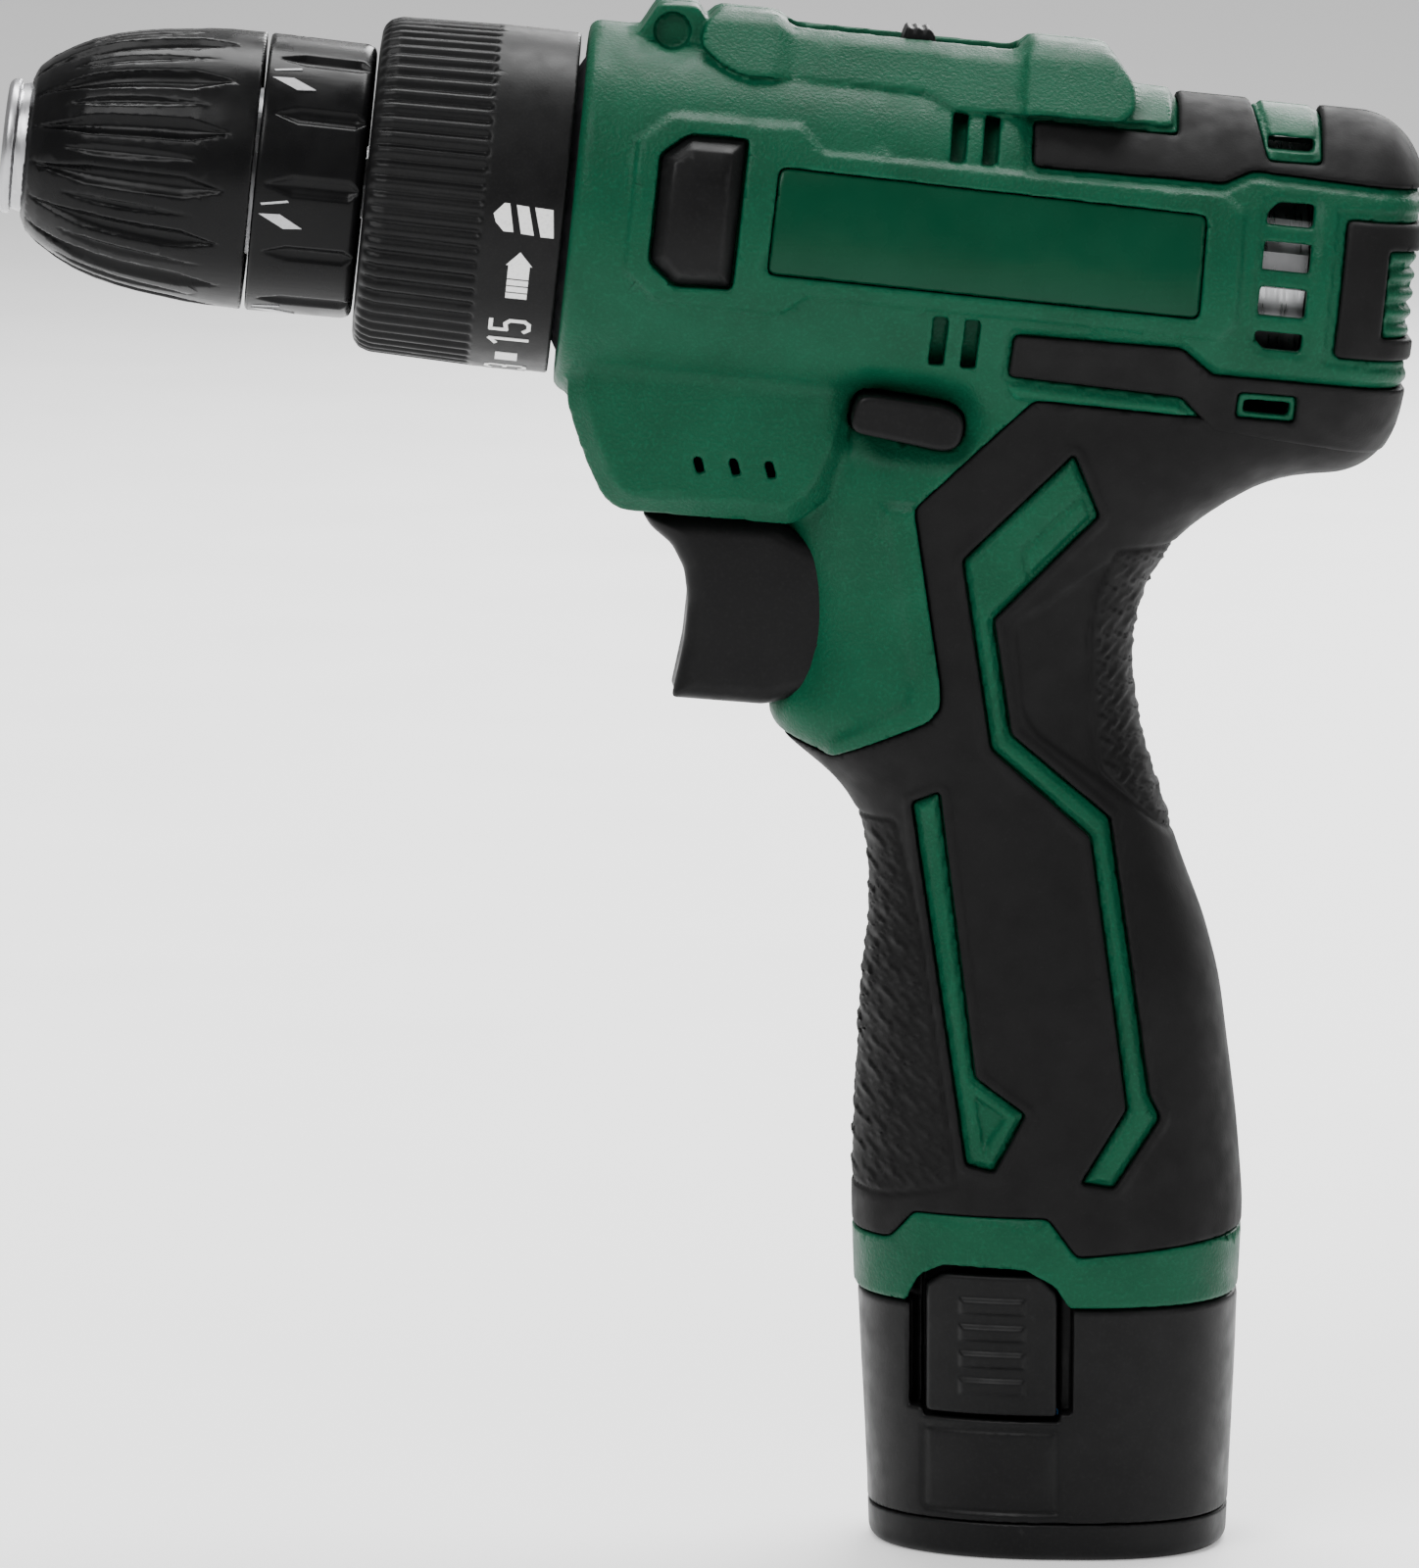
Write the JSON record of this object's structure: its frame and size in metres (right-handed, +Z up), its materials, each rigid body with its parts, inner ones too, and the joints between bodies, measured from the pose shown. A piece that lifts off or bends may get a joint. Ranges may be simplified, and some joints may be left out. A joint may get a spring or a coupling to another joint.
{
  "type": "cordless drill",
  "caption": "Compact pistol-grip drill driver standing on a plug-in battery, with a keyless chuck, torque collar, speed slider and trigger.",
  "frame": {"origin": "centre of the battery's flat base", "axes": "+Z up along the handle, -X towards the chuck's nose, Y across the tool; the spindle is tilted 6 degrees nose-up"},
  "size_m": [0.1882, 0.049, 0.2058],
  "materials": {
    "green_housing": "spark-textured glass-filled nylon",
    "black_rubber": "moulded soft-touch elastomer",
    "black_plastic": "satin moulded nylon",
    "gloss_panel": "smooth dark green gloss panel",
    "bright_steel": "turned and plated",
    "dark_steel": "ground, oiled",
    "spring_steel": "drawn wire",
    "brass": "sintered",
    "grey_plastic": "moulded nylon",
    "cell_wrap": "shrink sleeve over a plated can",
    "red_insulation": "extruded insulation",
    "black_insulation": "extruded insulation",
    "clear_lens": "clear moulding"
  },
  "bodies": {
    "housing": {"housing_left": "green_housing", "housing_right": "green_housing", "grip_rubber_left": "black_rubber", "grip_rubber_right": "black_rubber", "side_pad_left": "black_plastic", "side_pad_right": "black_plastic", "name_plate_left": "gloss_panel", "name_plate_right": "gloss_panel", "rear_bumper_left": "black_rubber", "rear_bumper_right": "black_rubber", "housing_screw_1": "dark_steel", "housing_screw_2": "dark_steel", "housing_screw_3": "dark_steel", "housing_screw_4": "dark_steel", "gear_case": "grey_plastic", "front_bearing": "brass", "rear_bearing": "brass", "fixed_ring_gear": "dark_steel", "motor_can": "bright_steel", "motor_end_cap": "grey_plastic", "switch_body": "grey_plastic", "light_lens": "clear_lens", "battery_lead_red": "red_insulation", "battery_lead_black": "black_insulation", "contact_block": "grey_plastic", "clutch_spring": "spring_steel", "trigger_spring": "spring_steel"},
    "chuck": {"chuck_body": "bright_steel", "chuck_rear_sleeve": "black_plastic", "chuck_screw": "bright_steel", "spindle": "bright_steel", "output_carrier": "dark_steel"},
    "chuck_sleeve": {"chuck_front_sleeve": "black_plastic", "chuck_nut": "dark_steel"},
    "jaw_1": {"chuck_jaw_1": "dark_steel"},
    "jaw_2": {"chuck_jaw_2": "dark_steel"},
    "jaw_3": {"chuck_jaw_3": "dark_steel"},
    "collar": {"torque_collar": "black_plastic"},
    "clutch": {"clutch_nut": "grey_plastic"},
    "carrier": {"input_carrier": "dark_steel"},
    "rotor": {"motor_rotor": "dark_steel", "motor_pinion": "brass"},
    "planet_first_1": {"planet_first_1": "dark_steel"},
    "planet_first_2": {"planet_first_2": "dark_steel"},
    "planet_first_3": {"planet_first_3": "dark_steel"},
    "planet_second_1": {"planet_second_1": "dark_steel"},
    "planet_second_2": {"planet_second_2": "dark_steel"},
    "planet_second_3": {"planet_second_3": "dark_steel"},
    "selector": {"speed_selector": "black_plastic", "shift_ring_gear": "dark_steel"},
    "trigger": {"trigger": "black_plastic"},
    "reverse_bar": {"reverse_bar": "black_plastic"},
    "reverse_lever": {"reverse_lever": "black_plastic"},
    "battery": {"battery_case": "black_plastic", "battery_base": "black_plastic", "cell_1": "cell_wrap", "cell_2": "cell_wrap", "cell_3": "cell_wrap"},
    "latch_left": {"battery_latch_left": "black_plastic"},
    "latch_right": {"battery_latch_right": "black_plastic"}
  },
  "joints": [
    {"name": "chuck_spin", "type": "hinge", "parent": "housing", "child": "chuck", "pos_m": [-0.06376, 0, 0.17859], "axis": [0.9945, 0, -0.1045], "continuous": true},
    {"name": "input_carrier_spin", "type": "hinge", "parent": "housing", "child": "carrier", "pos_m": [-0.06376, 0, 0.17859], "axis": [0.9945, 0, -0.1045], "continuous": true},
    {"name": "motor_spin", "type": "hinge", "parent": "housing", "child": "rotor", "pos_m": [-0.06376, 0, 0.17859], "axis": [0.9945, 0, -0.1045], "continuous": true},
    {"name": "planet_second_1_spin", "type": "hinge", "parent": "chuck", "child": "planet_second_1", "pos_m": [-0.0457, 0, 0.18778], "axis": [0.9945, 0, -0.1045], "continuous": true},
    {"name": "planet_second_2_spin", "type": "hinge", "parent": "chuck", "child": "planet_second_2", "pos_m": [-0.04743, -0.00955, 0.17133], "axis": [0.9945, 0, -0.1045], "continuous": true},
    {"name": "planet_second_3_spin", "type": "hinge", "parent": "chuck", "child": "planet_second_3", "pos_m": [-0.04743, 0.00955, 0.17133], "axis": [0.9945, 0, -0.1045], "continuous": true},
    {"name": "planet_first_1_spin", "type": "hinge", "parent": "carrier", "child": "planet_first_1", "pos_m": [-0.03426, 0, 0.18658], "axis": [0.9945, 0, -0.1045], "continuous": true},
    {"name": "planet_first_2_spin", "type": "hinge", "parent": "carrier", "child": "planet_first_2", "pos_m": [-0.03599, -0.00955, 0.17013], "axis": [0.9945, 0, -0.1045], "continuous": true},
    {"name": "planet_first_3_spin", "type": "hinge", "parent": "carrier", "child": "planet_first_3", "pos_m": [-0.03599, 0.00955, 0.17013], "axis": [0.9945, 0, -0.1045], "continuous": true},
    {"name": "chuck_sleeve_turn", "type": "hinge", "parent": "chuck", "child": "chuck_sleeve", "pos_m": [-0.06376, 0, 0.17859], "axis": [0.9945, 0, -0.1045], "range_deg": [0, 2490]},
    {"name": "jaw_1_slide", "type": "slide", "parent": "chuck", "child": "jaw_1", "axis": [-0.9606, -0.2588, 0.101], "range_m": [0, 0.0174]},
    {"name": "jaw_2_slide", "type": "slide", "parent": "chuck", "child": "jaw_2", "axis": [-0.9841, 0.1294, -0.1219], "range_m": [0, 0.0174]},
    {"name": "jaw_3_slide", "type": "slide", "parent": "chuck", "child": "jaw_3", "axis": [-0.9372, 0.1294, 0.3239], "range_m": [0, 0.0174]},
    {"name": "torque_collar_turn", "type": "hinge", "parent": "housing", "child": "collar", "pos_m": [-0.06376, 0, 0.17859], "axis": [0.9945, 0, -0.1045], "range_deg": [0, 265], "deforming": ["clutch_spring"]},
    {"name": "clutch_nut_slide", "type": "slide", "parent": "housing", "child": "clutch", "axis": [0.9945, 0, -0.1045], "range_m": [0, 0.0041]},
    {"name": "speed_select", "type": "slide", "parent": "housing", "child": "selector", "axis": [0.9945, 0, -0.1045], "range_m": [0, 0.005]},
    {"name": "trigger_pull", "type": "slide", "parent": "housing", "child": "trigger", "axis": [0.9945, 0, -0.1045], "range_m": [0, 0.006], "stiffness_N_per_m": 600, "springref_m": -0.008, "deforming": ["trigger_spring"]},
    {"name": "reverse_bar_shift", "type": "slide", "parent": "housing", "child": "reverse_bar", "axis": [0, 1, 0], "range_m": [-0.003, 0.003]},
    {"name": "reverse_lever_turn", "type": "hinge", "parent": "housing", "child": "reverse_lever", "pos_m": [-0.009, 0, 0.142], "axis": [0, 0, 1], "range_deg": [-17.5, 17.5]},
    {"name": "battery_release", "type": "slide", "parent": "housing", "child": "battery", "axis": [0, 0, -1], "range_m": [0, 0.042]},
    {"name": "latch_left_press", "type": "hinge", "parent": "battery", "child": "latch_left", "pos_m": [-0.0076, -0.0198, 0.0196], "axis": [-1, 0, 0], "range_deg": [0, 5], "stiffness_Nm_per_rad": 0.3, "springref_deg": -5.73},
    {"name": "latch_right_press", "type": "hinge", "parent": "battery", "child": "latch_right", "pos_m": [-0.0076, 0.0198, 0.0196], "axis": [1, 0, 0], "range_deg": [0, 5], "stiffness_Nm_per_rad": 0.3, "springref_deg": -5.73}
  ],
  "couplings": [
    {"joint": "input_carrier_spin", "follows": "chuck_spin", "ratio": 3.5},
    {"joint": "motor_spin", "follows": "chuck_spin", "ratio": 12.25},
    {"joint": "planet_second_1_spin", "follows": "chuck_spin", "ratio": -3.3333},
    {"joint": "planet_second_2_spin", "follows": "chuck_spin", "ratio": -3.3333},
    {"joint": "planet_second_3_spin", "follows": "chuck_spin", "ratio": -3.3333},
    {"joint": "planet_first_1_spin", "follows": "chuck_spin", "ratio": -11.667},
    {"joint": "planet_first_2_spin", "follows": "chuck_spin", "ratio": -11.667},
    {"joint": "planet_first_3_spin", "follows": "chuck_spin", "ratio": -11.667},
    {"joint": "jaw_1_slide", "follows": "chuck_sleeve_turn", "m_per_rad": 0.00039789},
    {"joint": "jaw_2_slide", "follows": "chuck_sleeve_turn", "m_per_rad": 0.00039789},
    {"joint": "jaw_3_slide", "follows": "chuck_sleeve_turn", "m_per_rad": 0.00039789},
    {"joint": "clutch_nut_slide", "follows": "torque_collar_turn", "m_per_rad": 0.00086484},
    {"joint": "reverse_lever_turn", "follows": "reverse_bar_shift", "rad_per_m": -100}
  ]
}
